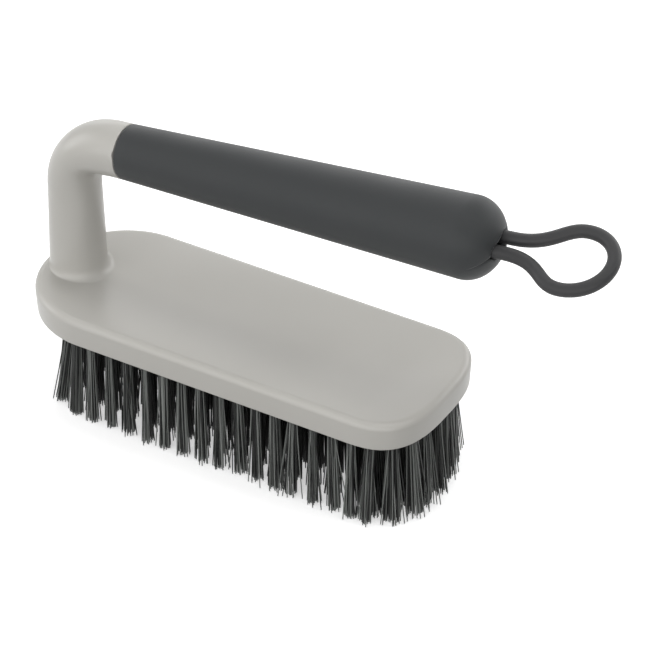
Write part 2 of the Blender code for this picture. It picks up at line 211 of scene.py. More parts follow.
gripLook = {
    "colour": screenColour(42, 44, 45),
    "paler": screenColour(47, 49, 50),
    "roughness": 0.56,
    "roughnessSpread": 0.2,
    "specular": 0.28,
    "sheen": 0.12,
    "sheenRoughness": 0.4,
    "toneScale": 60.0,
    "toneDetail": 4.0,
    "grainScale": 3800.0,
    "grainHeight": 0.03,
    "reliefStrength": 0.6,
}

cordLook = {
    "colour": screenColour(44, 44, 45),
    "paler": screenColour(48, 48, 49),
    "roughness": 0.5,
    "roughnessSpread": 0.2,
    "specular": 0.3,
    "sheen": 0.03,
    "sheenRoughness": 0.4,
    "toneScale": 90.0,
    "toneDetail": 4.0,
    "grainScale": 3000.0,
    "grainHeight": 0.02,
    "reliefStrength": 0.6,
}


def makeRubber(name, p):
    # Soft matt rubber: a fine powdery grain and a tone that drifts with handling.
    material, sheet, surface = newMaterial(name)
    where = sheet.add("ShaderNodeTexCoord").outputs["Object"]
    drift = sheet.noise(where, p["toneScale"], p["toneDetail"])
    grain = sheet.noise(where, p["grainScale"])
    feed(sheet, surface, "Base Color", sheet.blend(drift, p["colour"], p["paler"]))
    feed(sheet, surface, "Roughness", p["roughness"] + (drift - 0.5) * p["roughnessSpread"])
    feedRelief(sheet, surface, grain * p["grainHeight"], p["reliefStrength"])
    surface.inputs["Specular IOR Level"].default_value = p["specular"]
    surface.inputs["Sheen Weight"].default_value = p["sheen"]
    surface.inputs["Sheen Roughness"].default_value = p["sheenRoughness"]
    return material


fibreLook = {
    "dark": screenColour(12, 14, 13),
    "pale": screenColour(126, 129, 126),
    # The darkest colour is painted shade, laid among the roots and on the shaded runs; the numbers
    # below it set how much.
    "shadeColour": screenColour(4, 5, 5),
    "rootShadeKeep": 0.6,
    "rootShadeReach": 0.35,
    "runShadeStrength": 0.92,
    "contrast": 2.2,
    "tip": screenColour(118, 120, 119),
    "tipStart": 0.975,
    "roughness": 0.32,
    "roughnessSpread": 0.14,
    "specular": 0.3,
}


def makeFibre(name, p):
    # Drawn filaments: every strand has its own random tone. Painted shade darkens them among the roots,
    # in the inner rows and in the left and right runs, where shade falls.
    material, sheet, surface = newMaterial(name)
    shade, along = sheet.attribute("strandShade"), sheet.attribute("alongStrand")
    cut = sheet.math("GREATER_THAN", along, p["tipStart"])
    tone = sheet.blend((shade - 0.5) * p["contrast"] + 0.5, p["dark"], p["pale"])
    # Painted shade at the roots: a strand keeps only part of its own tone at the root and gets all of
    # it a little way along.
    rise = (1 - p["rootShadeKeep"]) / p["rootShadeReach"]
    lit = sheet.math("MINIMUM", p["rootShadeKeep"] + along * rise, 1.0)
    # Painted shade for each run: the run's stored share pulls its strands further towards the shade
    # colour.
    dimmed = 1.0 - sheet.attribute("paintedShadeShare") * p["runShadeStrength"]
    tone = sheet.blend(lit * dimmed, p["shadeColour"], tone)
    feed(sheet, surface, "Base Color", sheet.blend(cut, tone, p["tip"]))
    feed(sheet, surface, "Roughness", p["roughness"] + (shade - 0.5) * p["roughnessSpread"])
    surface.inputs["Specular IOR Level"].default_value = p["specular"]
    return material


def addPiece(name, bm, material, place=toFrame, sharpAngle=38):
    # Turns a drawing in millimetres into a piece whose place is in its mesh.
    bmesh.ops.remove_doubles(bm, verts=bm.verts, dist=weldGap)
    bmesh.ops.recalc_face_normals(bm, faces=bm.faces)
    bm.transform(place)
    mesh = bpy.data.meshes.new(name)
    bm.to_mesh(mesh)
    bm.free()
    mesh.materials.append(material)
    mesh.shade_smooth()
    mesh.set_sharp_from_angle(angle=math.radians(sharpAngle))
    piece = bpy.data.objects.new(name, mesh)
    bpy.context.scene.collection.objects.link(piece)
    return piece


def carve(piece, cutter):
    # Cuts one closed shape out of another and keeps the result as plain mesh.
    cut = piece.modifiers.new("carve", "BOOLEAN")
    cut.operation = "DIFFERENCE"
    cut.solver = "EXACT"
    cut.object = cutter
    graph = bpy.context.evaluated_depsgraph_get()
    carved = bpy.data.meshes.new_from_object(piece.evaluated_get(graph), depsgraph=graph)
    piece.modifiers.clear()
    piece.data = carved
    bpy.data.objects.remove(cutter)


def settle(piece, slotName, *nodes, body="brush"):
    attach(piece, body)
    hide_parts(*nodes)


def circle(radius, sides):
    turns = [math.tau * i / sides for i in range(sides)]
    return [(radius * math.cos(turn), radius * math.sin(turn)) for turn in turns]


def addRing(bm, points):
    return [bm.verts.new(point) for point in points]


def bridgeRings(bm, rings):
    for first, second in zip(rings, rings[1:]):
        for i in range(len(first)):
            bm.faces.new((first[i - 1], first[i], second[i], second[i - 1]))


def closeTube(bm, rings):
    # Joins the rings in their order and fills the first and the last.
    bridgeRings(bm, rings)
    bm.faces.new(rings[0])
    bm.faces.new(rings[-1])


backSet = {
    "length": 160.0,
    "width": 61.2,
    "bottom": 34.5,
    "top": 45.1,
    "rightCorner": 23.5,
    "rightSquareness": 2.9,
    "edgeRound": 2.6,
    "dishDepth": 1.5,
    "rimRound": 0.7,
    "rimDraft": 0.35,
    "rimSteps": 5,
    "skirtWall": 2.6,
    "pocketRoof": 39.5,
    "leftSteps": 176,
    "rightSteps": 96,
    "straightSteps": 24,
    "roundSteps": 12,
    "dishSteps": 72,
    "socketRadius": 6.8,
    "socketFloor": 40.8,
    "socketOverrun": 5.0,
    "socketSides": 64,
}
postX = 12.2  # The post's middle line.


def backOutline(inset, leftSteps, rightSteps, straightSteps, b=backSet):
    # Plan outline, counter-clockwise: squarer right end, back straight, round left end, front.
    half = b["width"] / 2
    straightEnd = b["length"] - b["rightCorner"]
    points = []
    for i in range(rightSteps + 1):
        turn = math.pi * (i / rightSteps - 0.5)
        power = 2 / b["rightSquareness"]
        reach = (b["rightCorner"] - inset) * abs(math.cos(turn)) ** power
        across = math.copysign(abs(math.sin(turn)) ** power, turn)
        points.append(Vector((straightEnd + reach, (half - inset) * across)))
    for i in range(1, straightSteps):
        x = straightEnd + (half - straightEnd) * i / straightSteps
        points.append(Vector((x, half - inset)))
    for i in range(leftSteps + 1):
        turn = math.pi * (i / leftSteps + 0.5)
        radius = half - inset
        points.append(Vector((half + radius * math.cos(turn), radius * math.sin(turn))))
    for i in range(1, straightSteps):
        x = half + (straightEnd - half) * i / straightSteps
        points.append(Vector((x, inset - half)))
    return points


def dishHeight(share, b=backSet):
    # The dished top falls from its crest, at share 0, to the middle line, at share 1.
    return b["top"] - b["dishDepth"] * (1 - math.cos(math.pi * share)) / 2


def topHeight(x, y, b=backSet):
    # Height of the back's upper side left of its squarer end, over the edge round and the dish.
    half = b["width"] / 2
    inset = half - math.hypot(min(x - half, 0), y)
    if inset < b["edgeRound"]:
        short = b["edgeRound"] - max(inset, 0)
        return b["top"] - b["edgeRound"] + math.sqrt(b["edgeRound"] ** 2 - short ** 2)
    return dishHeight((inset - b["edgeRound"]) / (half - b["edgeRound"]))


def makeBack(b, material):
    bm = bmesh.new()
    steps = (b["leftSteps"], b["rightSteps"], b["straightSteps"])
    half = b["width"] / 2

    def ringAt(inset, height):
        return addRing(bm, [(p.x, p.y, height) for p in backOutline(inset, *steps)])

    rings = [ringAt(b["skirtWall"], b["pocketRoof"]), ringAt(b["skirtWall"], b["bottom"])]
    for i in range(b["rimSteps"] + 1):
        turn = math.pi / 2 * i / b["rimSteps"]
        rings.append(ringAt(
            b["rimDraft"] + b["rimRound"] * (1 - math.sin(turn)),
            b["bottom"] + b["rimRound"] * (1 - math.cos(turn)),
        ))
    for i in range(b["roundSteps"] + 1):
        turn = math.pi / 2 * i / b["roundSteps"]
        inset = b["edgeRound"] * (1 - math.cos(turn))
        rings.append(ringAt(inset, b["top"] - b["edgeRound"] * (1 - math.sin(turn))))
    crest = backOutline(b["edgeRound"], *steps)
    for i in range(1, b["dishSteps"]):
        share = i / b["dishSteps"]
        level = []
        for p in crest:
            spine = Vector((min(max(p.x, half), b["length"] - b["rightCorner"]), 0))
            level.append((*spine.lerp(p, 1 - share), dishHeight(share)))
        rings.append(addRing(bm, level))
    bridgeRings(bm, rings)

    # The dish closes on the middle line: each side meets the other, straight across.
    floor = b["top"] - b["dishDepth"]
    last = rings[-1]
    firstLeft = b["rightSteps"] + b["straightSteps"]
    line = [bm.verts.new((v.co.x, 0, floor)) for v in last[b["rightSteps"]:firstLeft + 1]]
    count = len(last)
    for i in range(b["straightSteps"]):
        behind = b["rightSteps"] + i
        bm.faces.new((last[behind], last[behind + 1], line[i + 1], line[i]))
        front = count - i
        bm.faces.new((last[front % count], last[front - 1], line[i + 1], line[i]))
    for i in range(b["rightSteps"]):
        bm.faces.new((last[i], last[i + 1], line[0]))
    for i in range(firstLeft, firstLeft + b["leftSteps"]):
        bm.faces.new((last[i], last[i + 1], line[-1]))
    bm.faces.new(rings[0])
    back = addPiece("brushBack", bm, material)

    socket = bmesh.new()
    hole = circle(b["socketRadius"], b["socketSides"])
    heights = (b["socketFloor"], b["top"] + b["socketOverrun"])
    closeTube(socket, [addRing(socket, [(x, y, z) for x, y in hole]) for z in heights])
    bmesh.ops.translate(socket, verts=socket.verts, vec=(postX, 0, 0))
    carve(back, addPiece("socketCutter", socket, material))
    settle(back, "back_plastic", "brush_back")
    print("back ready:", len(back.data.polygons), "faces")


tuftSet = {
    "pitch": 7.4,
    "inset": 6.0,
    "outlineSteps": (20, 16, 1),
    "leftDrawIn": 5.2,
    "leftFullness": 1.42,
    "middleRows": 5,
    "rowEndShare": 0.93,
    "runEndShare": 0.25,
    "stripWidth": 4.2,
    "stripBottom": 37.8,
    "stripTop": 39.2,
    "filaments": 42,
    "bundleRadius": 1.5,
    "strandRadius": 0.2,
    "sides": 5,
    "segments": 3,
    "bows": (0.0, 0.2, 0.5, 1.1),
    "amountRange": (0.8, 1.15),
    "radiusRange": (0.85, 1.1),
    "goldenAngle": 2.39996,
    "trim": 2.4,
    "trimPower": 1.6,
    "trimRange": (0.5, 1.0),
    "leanRange": (0.7, 1.3),
    "splay": 0.5,
    "strandSplayRange": (0.3, 1.7),
    "tuftSplayRange": (0.4, 1.6),
    "wander": 0.5,
    "jitter": 0.3,
    "strayShare": 0.04,
    "straySplay": 3.0,
    "looseLeft": 1.1,
    "looseRight": 2.8,
    "looseFrom": 60.0,
    "looseTo": 150.0,
    "cornerAt": 20.7,
    "cornerReach": 12.0,
    "cornerLeast": 0.2,
    "rowEndFullness": 1.6,
    "seed": 11,
    "seedStep": 100,
}
# The last number of each run is its share of painted shade: the inner rows take the most, the left and
# right runs some.
runLooks = {
    "Front": {"lean": 0.4, "fullness": 1.0, "paintedShadeShare": 0.0},
    "Right": {"lean": 1.2, "fullness": 1.2, "paintedShadeShare": 0.2},
    "Back": {"lean": 0.4, "fullness": 1.0, "paintedShadeShare": 0.0},
    "Left": {"lean": 4.8, "fullness": 1.1, "paintedShadeShare": 0.35},
}
middleLook = {"lean": 1.8, "fullness": 1.0, "paintedShadeShare": 1.0}


def placesAlong(loop, spacing):
    # Evenly spaced places along a closed outline, each with its outward direction.
    legs = list(zip(loop, loop[1:] + loop[:1]))
    total = sum((b - a).length for a, b in legs)
    steps = round(total / spacing)
    places = []
    walked = 0.0
    for a, b in legs:
        span = (b - a).length
        while len(places) < steps and len(places) * total / steps <= walked + span:
            along = (b - a) / span
            here = a + along * (len(places) * total / steps - walked)
            places.append((here, Vector((along.y, -along.x))))
        walked += span
    return places


def tuftOutline(inset, t, b=backSet):
    # The back's outline with its left end drawn in, clear of the post's socket.
    half = b["width"] / 2
    bend = 2 / t["leftFullness"]
    points = []
    for p in backOutline(inset, *t["outlineSteps"]):
        if p.x < half:
            reach = (half - inset - t["leftDrawIn"]) * ((half - p.x) / (half - inset)) ** bend
            across = math.copysign(abs(p.y / (half - inset)) ** bend, p.y)
            p = Vector((half - reach, (half - inset) * across))
        points.append(p)
    return points


def tuftRuns(t, b=backSet):
    # Every run of tufts by name: one round along the outline in four parts, then the middle rows.
    half = b["width"] / 2
    straightEnd = b["length"] - b["rightCorner"]
    past = t["pitch"] * t["runEndShare"]
    runs = {name: [] for name in runLooks}
    for here, outward in placesAlong(tuftOutline(t["inset"], t), t["pitch"]):
        name = "Front" if here.y < 0 else "Back"
        if here.x > straightEnd + past:
            name = "Right"
        elif here.x < half:
            name = "Left"
        runs[name].append((here, outward))
    runs["Front"].sort(key=lambda place: place[0].x)
    runs["Left"].sort(key=lambda place: -place[0].y)

    rowPitch = (half - t["inset"]) / (t["middleRows"] // 2 + 1)
    edge = tuftOutline(t["inset"] + rowPitch * t["rowEndShare"], t)
    for row in range(t["middleRows"]):
        step = row - t["middleRows"] // 2
        across = step * rowPitch
        ends = []
        for p, q in zip(edge, edge[1:] + edge[:1]):
            if (p.y - across) * (q.y - across) <= 0 and p.y != q.y:
                ends.append(p.x + (q.x - p.x) * (across - p.y) / (q.y - p.y))
        span = max(ends) - min(ends)
        count = round(span / t["pitch"])
        xs = [min(ends) + span * k / count for k in range(count + 1)]
        runs["Row" + str(row + 1)] = [(Vector((x, across)), Vector((0, 0))) for x in xs]
    return runs


def stripOutline(places, width):
    # A band of melted backing along a run, half its width past each end tuft.
    half = width / 2
    stations = []
    for here, outward in places:
        straight = (places[-1][0] - places[0][0]).normalized()
        stations.append((here, Vector((-outward.y, outward.x)) if outward.length else straight))
    stations.insert(0, (stations[0][0] - stations[0][1] * half, stations[0][1]))
    stations.append((stations[-1][0] + stations[-1][1] * half, stations[-1][1]))
    near = [p + Vector((along.y, -along.x)) * half for p, along in stations]
    far = [p - Vector((along.y, -along.x)) * half for p, along in stations]
    return near + far[::-1]


def makeTuftTree(t):
    # Grows a bundle of filaments out of every marked point of a run.
    tree = bpy.data.node_groups.new("tuftTree", "GeometryNodeTree")
    tree.is_modifier = True
    kinds = {
        "Geometry": "Geometry", "Filaments": "Int", "Bundle Radius": "Float",
        "Strand Radius": "Float", "Length": "Float", "Trim": "Float", "Splay": "Float",
        "Lean": "Float", "Wander": "Float", "Jitter": "Float", "Stray Share": "Float",
        "Stray Splay": "Float", "Seed": "Int", "Fibre": "Material",
    }
    for name, kind in kinds.items():
        tree.interface.new_socket(name, in_out="INPUT", socket_type="NodeSocket" + kind)
    tree.interface.new_socket("Geometry", in_out="OUTPUT", socket_type="NodeSocketGeometry")
    sheet = Sheet(tree)
    given = sheet.add("NodeGroupInput").outputs

    def value(name):
        return Number(sheet, given[name])

    def named(name, kind="FLOAT"):
        node = sheet.add("GeometryNodeInputNamedAttribute", {"data_type": kind}, {"Name": name})
        return sheet.number(node, "Attribute")

    def store(geometry, name, content, kind="FLOAT"):
        sockets = {"Geometry": geometry, "Name": name, "Value": content}
        settings = {"data_type": kind, "domain": "POINT"}
        return sheet.add("GeometryNodeStoreNamedAttribute", settings, sockets).outputs["Geometry"]

    def dice(low, high, which, lane):
        # A random number for each tuft or strand. Every use has a lane of its own.
        sockets = {2: low, 3: high, "ID": which, "Seed": value("Seed") + lane}
        return sheet.number(sheet.add("FunctionNodeRandomValue", {"data_type": "FLOAT"}, sockets), 1)

    def vector(x=0.0, y=0.0, z=0.0):
        return sheet.add("ShaderNodeCombineXYZ", {}, {"X": x, "Y": y, "Z": z}).outputs["Vector"]

    def vectorSum(first, second):
        sockets = {0: first, 1: second}
        return sheet.add("ShaderNodeVectorMath", {"operation": "ADD"}, sockets).outputs["Vector"]

    def vectorTimes(arrow, factor):
        sockets = {0: arrow, "Scale": factor}
        return sheet.add("ShaderNodeVectorMath", {"operation": "SCALE"}, sockets).outputs["Vector"]

    def move(geometry, offset):
        sockets = {"Geometry": geometry, "Offset": offset}
        return sheet.add("GeometryNodeSetPosition", {}, sockets).outputs["Geometry"]

    parts = sheet.add(
        "GeometryNodeSeparateGeometry", {"domain": "POINT"},
        {"Geometry": given["Geometry"], "Selection": named("tuft", "BOOLEAN")},
    )
    tufts = sheet.add("GeometryNodeMeshToPoints", {}, {"Mesh": parts.outputs["Selection"]}).outputs[0]
    index = sheet.number(sheet.add("GeometryNodeInputIndex"))
    fullness = named("fullness")
    amount = value("Filaments") * fullness * fullness * dice(*t["amountRange"], index, 15)
    many = sheet.add(
        "GeometryNodeDuplicateElements", {"domain": "POINT"},
        {"Geometry": store(tufts, "tuftNumber", index, "INT"), "Amount": amount},
    )
    strands = store(many.outputs["Geometry"], "strandTurn", many.outputs["Duplicate Index"])
    turn = named("strandTurn")
    tuft = named("tuftNumber", "INT")

    # The roots fill a round hole evenly, as seeds do in a flower head.
    angle = turn * t["goldenAngle"] + dice(0.0, math.tau, tuft, 1)
    reach = ((turn + 0.5) / value("Filaments")) ** 0.5 * value("Bundle Radius")
    reach = reach * dice(*t["radiusRange"], tuft, 16)
    aside = vector(sheet.math("COSINE", angle), sheet.math("SINE", angle))

    # Each tip lies where lean, splay and a few strays take it.
    loose = named("loose")
    spread = reach / value("Bundle Radius") * value("Splay") * dice(*t["strandSplayRange"], index, 2)
    spread = spread * dice(*t["tuftSplayRange"], tuft, 3) * loose
    lean = value("Lean") * dice(*t["leanRange"], tuft, 4)
    drift = value("Wander") * loose
    wander = vector(dice(-1.0, 1.0, tuft, 5) * drift, dice(-1.0, 1.0, tuft, 6) * drift)
    stray = sheet.math("LESS_THAN", dice(0.0, 1.0, index, 7), value("Stray Share") * loose)
    shake = value("Jitter") * loose + stray * value("Stray Splay")
    jitter = vector(dice(-1.0, 1.0, index, 8) * shake, dice(-1.0, 1.0, index, 9) * shake)
    tip = vectorSum(vectorTimes(aside, spread), vectorTimes(named("outward", "FLOAT_VECTOR"), lean))
    tip = vectorSum(vectorSum(tip, wander), jitter)
    cut = dice(0.0, 1.0, index, 10) ** t["trimPower"] * value("Trim")
    length = value("Length") - cut * dice(*t["trimRange"], tuft, 11)
    direction = vectorSum(tip, vector(z=0.0 - length))

    strands = move(strands, vectorTimes(aside, reach))
    strands = store(strands, "strandShade", dice(0.0, 1.0, index, 12))
    sockets = {"Vector": direction}
    aim = sheet.add("FunctionNodeAlignRotationToVector", {"axis": "Z"}, sockets).outputs[0]
    own = sheet.add("FunctionNodeAxisAngleToRotation", {}, {"Angle": dice(0.0, math.tau, index, 13)})
    sockets = {"Rotation": aim, "Rotate By": own.outputs[0]}
    aim = sheet.add("FunctionNodeRotateRotation", {"rotation_space": "LOCAL"}, sockets).outputs[0]

    # Each tube is 1 long and stands on its root. The bows give it a few ways to bend.
    choices = sheet.add("GeometryNodeGeometryToInstance")
    for bow in t["bows"]:
        tube = sheet.add("GeometryNodeMeshCylinder", {"fill_type": "NGON"}, {
            "Vertices": t["sides"], "Side Segments": t["segments"],
            "Radius": value("Strand Radius"), "Depth": 1.0,
        })
        sockets = {"Geometry": tube.outputs["Mesh"], "Selection": tube.outputs["Side"]}
        smooth = sheet.add("GeometryNodeSetShadeSmooth", {"domain": "FACE"}, sockets).outputs[0]
        here = sheet.add("GeometryNodeInputPosition").outputs[0]
        height = sheet.number(sheet.add("ShaderNodeSeparateXYZ", {}, {0: here}), "Z") + 0.5
        marked = store(smooth, "alongStrand", height)
        along = named("alongStrand")
        bent = move(marked, vector(along * along * (bow * mm), z=0.5))
        tree.links.new(bent, choices.inputs[0])

    # The dice stop just short of the number of bows, because the pick is rounded down.
    lastBow = len(t["bows"]) - 0.001
    grown = sheet.add("GeometryNodeInstanceOnPoints", {}, {
        "Points": strands, "Instance": choices.outputs[0], "Pick Instance": True,
        "Instance Index": sheet.math("FLOOR", dice(0.0, lastBow, index, 14)),
        "Rotation": aim, "Scale": vector(1.0, 1.0, length),
    }).outputs[0]
    together = sheet.add("GeometryNodeJoinGeometry")
    tree.links.new(grown, together.inputs[0])
    tree.links.new(parts.outputs["Inverted"], together.inputs[0])
    real = sheet.add("GeometryNodeRealizeInstances", {}, {"Geometry": together.outputs[0]}).outputs[0]
    sockets = {"Geometry": real, "Material": given["Fibre"]}
    done = sheet.add("GeometryNodeSetMaterial", {}, sockets).outputs[0]
    sheet.add("NodeGroupOutput", {}, {"Geometry": done})
    return tree


def bareRun(name, places, look, t, material):
    # A run's backing strip, with a marked point for the root of each tuft.
    bm = bmesh.new()
    tuftMark = bm.verts.layers.bool.new("tuft")
    outwardMark = bm.verts.layers.float_vector.new("outward")
    looseMark = bm.verts.layers.float.new("loose")
    shadeMark = bm.verts.layers.float.new("paintedShadeShare")
    fullMark = bm.verts.layers.float.new("fullness")
    outline = stripOutline(places, t["stripWidth"])
    heights = (t["stripBottom"], t["stripTop"])
    closeTube(bm, [addRing(bm, [(p.x, p.y, z) for p in outline]) for z in heights])
    rowEnds = {}
    if look is middleLook:
        rowEnds = {0: Vector((-1, 0)), len(places) - 1: Vector((1, 0))}
    for i, (here, outward) in enumerate(places):
        outward = rowEnds.get(i, outward)
        root = bm.verts.new((here.x, here.y, t["stripBottom"]))
        root[tuftMark] = True
        corner = max(1.0 - abs(here.x - t["cornerAt"]) / t["cornerReach"], t["cornerLeast"])
        push = corner if name == "Left" else 1.0
        root[outwardMark] = (outward.x * push, outward.y * push, 0)
        share = min(max((here.x - t["looseFrom"]) / (t["looseTo"] - t["looseFrom"]), 0.0), 1.0)
        root[looseMark] = t["looseLeft"] + (t["looseRight"] - t["looseLeft"]) * share
        # Each root carries its run's share of painted shade.
        root[shadeMark] = look["paintedShadeShare"]
        root[fullMark] = t["rowEndFullness"] if i in rowEnds else look["fullness"]
    return addPiece("tuftRun" + name, bm, material)


def makeTufts(t, material):
    tree = makeTuftTree(t)
    names = {item.name: item.identifier for item in tree.interface.items_tree if item.in_out == "INPUT"}
    nodes = {name: "bristle_edge_" + name.lower() for name in runLooks}
    nodes.update({"Row" + str(i): "bristle_row_" + str(i) for i in range(1, t["middleRows"] + 1)})
    strandFaces = t["sides"] * t["segments"] + 2
    total = 0
    for turn, (name, places) in enumerate(tuftRuns(t).items()):
        look = runLooks.get(name, middleLook)
        run = bareRun(name, places, look, t, material)
        grow = run.modifiers.new("grow", "NODES")
        grow.node_group = tree
        values = {
            "Filaments": t["filaments"],
            "Bundle Radius": t["bundleRadius"] * mm,
            "Strand Radius": t["strandRadius"] * mm,
            "Length": t["stripBottom"] * mm,
            "Trim": t["trim"] * mm,
            "Splay": t["splay"] * mm,
            "Lean": look["lean"] * mm,
            "Wander": t["wander"] * mm,
            "Jitter": t["jitter"] * mm,
            "Stray Share": t["strayShare"],
            "Stray Splay": t["straySplay"] * mm,
            "Seed": t["seed"] + t["seedStep"] * turn,
            "Fibre": material,
        }
        for label, given in values.items():
            grow[names[label]] = given
        graph = bpy.context.evaluated_depsgraph_get()
        grown = bpy.data.meshes.new_from_object(
            run.evaluated_get(graph), preserve_all_data_layers=True, depsgraph=graph
        )
        run.modifiers.clear()
        run.data = grown
        settle(run, "bristle_fibre", nodes[name])
        total += len(grown.polygons) // strandFaces
    print("tufts ready:", total, "filaments")


plateSet = {
    "inset": 2.9,
    "outlineSteps": (64, 48, 1),
    "bottom": 34.5,
    "top": 37.5,
    "holeRadius": 2.1,
    "holeSides": 16,
}


def makePlate(p, material):
    bm = bmesh.new()
    outline = backOutline(p["inset"], *p["outlineSteps"])
    rims = [addRing(bm, [(q.x, q.y, p["bottom"]) for q in outline])]
    hole = circle(p["holeRadius"], p["holeSides"])
    for places in tuftRuns(tuftSet).values():
        for here, outward in places:
            rims.append(addRing(bm, [(here.x + a, here.y + b, p["bottom"]) for a, b in hole]))
    edges = [bm.edges.new(pair) for rim in rims for pair in zip(rim, rim[1:] + rim[:1])]
    filled = bmesh.ops.triangle_fill(bm, edges=edges, use_beauty=True, normal=(0, 0, -1))
    under = [item for item in filled["geom"] if isinstance(item, bmesh.types.BMFace)]
    raised = bmesh.ops.extrude_face_region(bm, geom=under, use_keep_orig=True)
    upper = [item for item in raised["geom"] if isinstance(item, bmesh.types.BMVert)]
    bmesh.ops.translate(bm, verts=upper, vec=(0, 0, p["top"] - p["bottom"]))
    plate = addPiece("tuftPlate", bm, material)
    settle(plate, "back_plastic", "tuft_plate")
    print("plate ready:", len(rims) - 1, "holes")


handleSet = {
    "height": 96.6,
    "tilt": math.radians(4.7),
    "roll": math.radians(20.3),
    "loopPitch": math.radians(2.5),
    "loopPivot": 158.2,
}

# The grip and its slot are drawn along the handle and turned about it. The loop is pitched as well.
handleAxis = Vector((math.cos(handleSet["tilt"]), 0, math.sin(handleSet["tilt"])))
handleStart = Vector((postX, 0, handleSet["height"]))
toHandle = toFrame @ Matrix.Translation(handleStart) @ Matrix.Rotation(-handleSet["tilt"], 4, "Y")
toSlot = toHandle @ Matrix.Rotation(handleSet["roll"], 4, "X")
toPivot = Matrix.Translation((handleSet["loopPivot"], 0, 0))
toLoop = toSlot @ toPivot @ Matrix.Rotation(-handleSet["loopPitch"], 4, "Y") @ toPivot.inverted()

neckSet = {
    "spigotRadius": 6.5,
    "spigotBottom": 41.1,
    "spigotTop": 42.5,
    "spigotChamfer": 0.4,
    "flareReach": 2.8,
    "flareLeast": 0.15,
    "flareRise": 1.2,
    "flareMargin": 0.35,
    "flareSink": 0.25,
    "hiddenIn": 1.5,
    "hiddenDrop": 0.75,
    "flareTop": 48.4,
    "flareSteps": 18,
    "footRadius": 10.1,
    "topRadius": 9.4,
    "postSteps": 12,
    "bendRadius": 21.0,
    "bendSwell": 0.45,
    "bendSteps": 40,
    "innerBend": 4.0,
    "endRadius": 9.65,
    "shoulder": 22.72,
    "shoulderLead": 2.0,
    "shoulderRound": ((0.2, 0.0), (0.06, 0.05), (0.0, 0.2)),
    "coreStart": 6.9,
    "coreEnd": 10.6,
    "coreEndAt": 160.0,
    "coreChamfer": 0.5,
    "boreRadius": 6.5,
    "boreDepth": 13.3,
    "sides": 72,
    "nickAt": math.radians(158),
    "nickWidth": math.radians(8),
    "nickDepth": 0.5,
}


